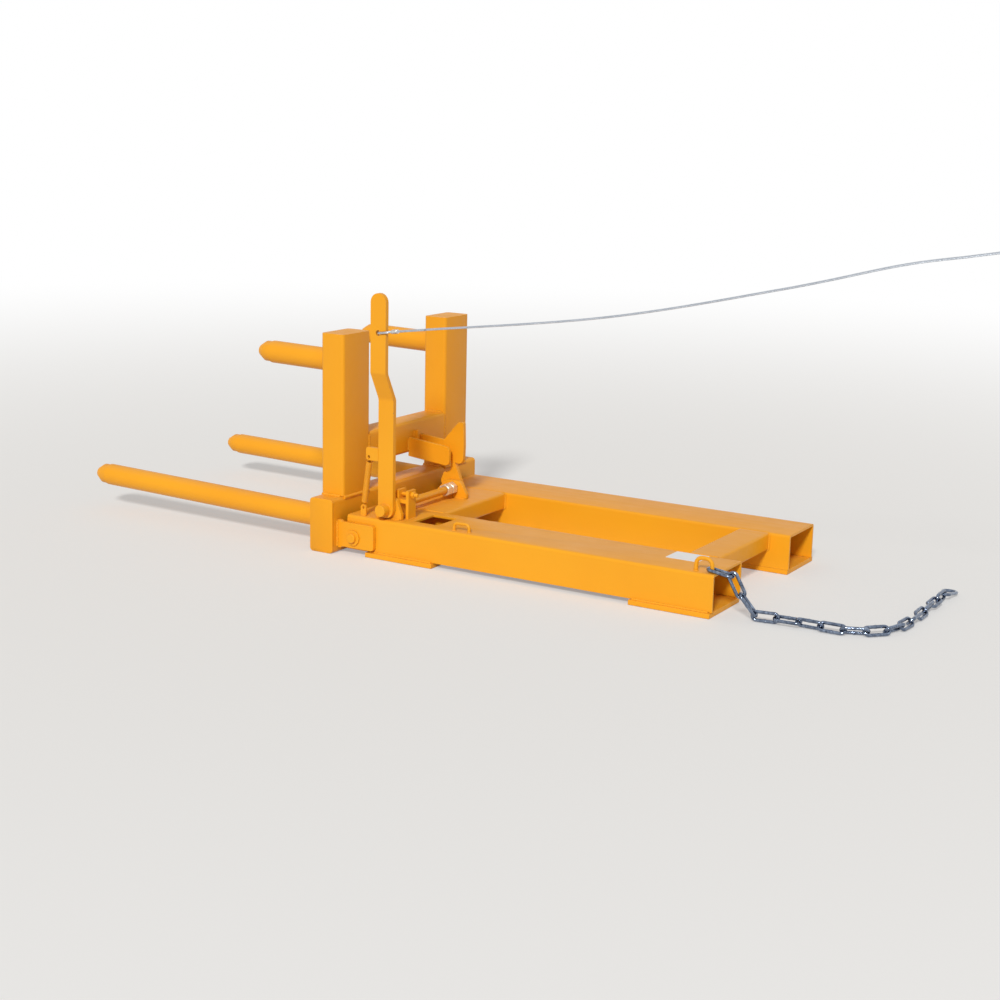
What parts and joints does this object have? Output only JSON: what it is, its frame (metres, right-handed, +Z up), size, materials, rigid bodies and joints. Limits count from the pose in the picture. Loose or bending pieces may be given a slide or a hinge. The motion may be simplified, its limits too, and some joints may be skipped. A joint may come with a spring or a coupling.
{
  "type": "drum lifter",
  "caption": "Fork-mounted drum lifter: a holder with two long low bars and two short high bars tilts down on a hinge once a rope-pulled latch lever lets it go.",
  "frame": {"origin": "on the ground, at the middle of the lifter's length and width, without its rope and chain", "axes": "+X rearward to the truck, so the drum side is -X; +Y to the right of someone who stands behind the lifter's drum side and looks at the drum from the truck; +Z up"},
  "size_m": [2.5793, 0.684, 0.8965],
  "materials": {
    "orange_paint": "gloss paint, worn at the edges",
    "zinc": "zinc plated",
    "dark_steel": "oiled bright steel, partly painted",
    "wire_rope": "stranded steel wire"
  },
  "bodies": {
    "frame": {"fork_pocket_left": "orange_paint", "fork_pocket_right": "orange_paint", "strap_front_left": "orange_paint", "strap_front_right": "orange_paint", "strap_rear_left": "orange_paint", "strap_rear_right": "orange_paint", "cross_beam_front": "orange_paint", "cross_beam_rear": "orange_paint", "hinge_pin_left": "orange_paint", "hinge_pin_right": "orange_paint", "shaft_gusset": "orange_paint", "shaft_foot_plate": "orange_paint", "lever_stop_bracket": "orange_paint", "lever_stop_bolt": "orange_paint", "spring_anchor": "orange_paint", "lever_spring": "orange_paint", "rope_guide": "orange_paint", "chain_staple": "orange_paint", "chain_link_01": "zinc", "chain_link_02": "zinc", "chain_link_03": "zinc", "chain_link_04": "zinc", "chain_link_05": "zinc", "chain_link_06": "zinc", "chain_link_07": "zinc", "chain_link_08": "zinc", "chain_link_09": "zinc", "chain_link_10": "zinc", "chain_link_11": "zinc", "chain_link_12": "zinc", "chain_link_13": "zinc", "chain_link_14": "zinc", "chain_link_15": "zinc", "chain_link_16": "zinc", "chain_hook": "zinc"},
    "holder": {"holder_cross_tube": "orange_paint", "tube_end_cap_left": "orange_paint", "tube_end_cap_right": "orange_paint", "upright_left": "orange_paint", "upright_right": "orange_paint", "upper_cross_beam": "orange_paint", "drum_bar_lower_left": "orange_paint", "drum_bar_lower_right": "orange_paint", "drum_bar_upper_left": "orange_paint", "drum_bar_upper_right": "orange_paint", "hinge_ear_left": "orange_paint", "hinge_ear_right": "orange_paint", "tongue_plate_left": "orange_paint", "tongue_plate_right": "orange_paint", "latch_pin": "dark_steel", "tongue_rib": "orange_paint"},
    "lever": {"release_lever": "orange_paint", "lever_shaft": "orange_paint", "latch_hook": "orange_paint", "shaft_nut_inner": "zinc", "shaft_nut_outer": "zinc", "spring_plate": "orange_paint"},
    "rope": {"pull_rope": "wire_rope", "rope_clip": "zinc", "rope_ring": "zinc"}
  },
  "joints": [
    {"name": "holder_tilt", "type": "hinge", "parent": "frame", "child": "holder", "pos_m": [-0.04495, 0, 0.0455], "axis": [0, -1, 0], "range_deg": [0, 90]},
    {"name": "lever_pull", "type": "hinge", "parent": "frame", "child": "lever", "pos_m": [0.03805, 0, 0.127], "axis": [0, 1, 0], "range_deg": [-6, 24], "stiffness_Nm_per_rad": 20, "deforming": ["lever_spring"]},
    {"name": "rope_pivot", "type": "hinge", "parent": "lever", "child": "rope", "pos_m": [0.03805, -0.328, 0.575], "axis": [0, 1, 0], "range_deg": [-24, 6]}
  ],
  "couplings": [
    {"joint": "rope_pivot", "follows": "lever_pull", "ratio": -1}
  ]
}
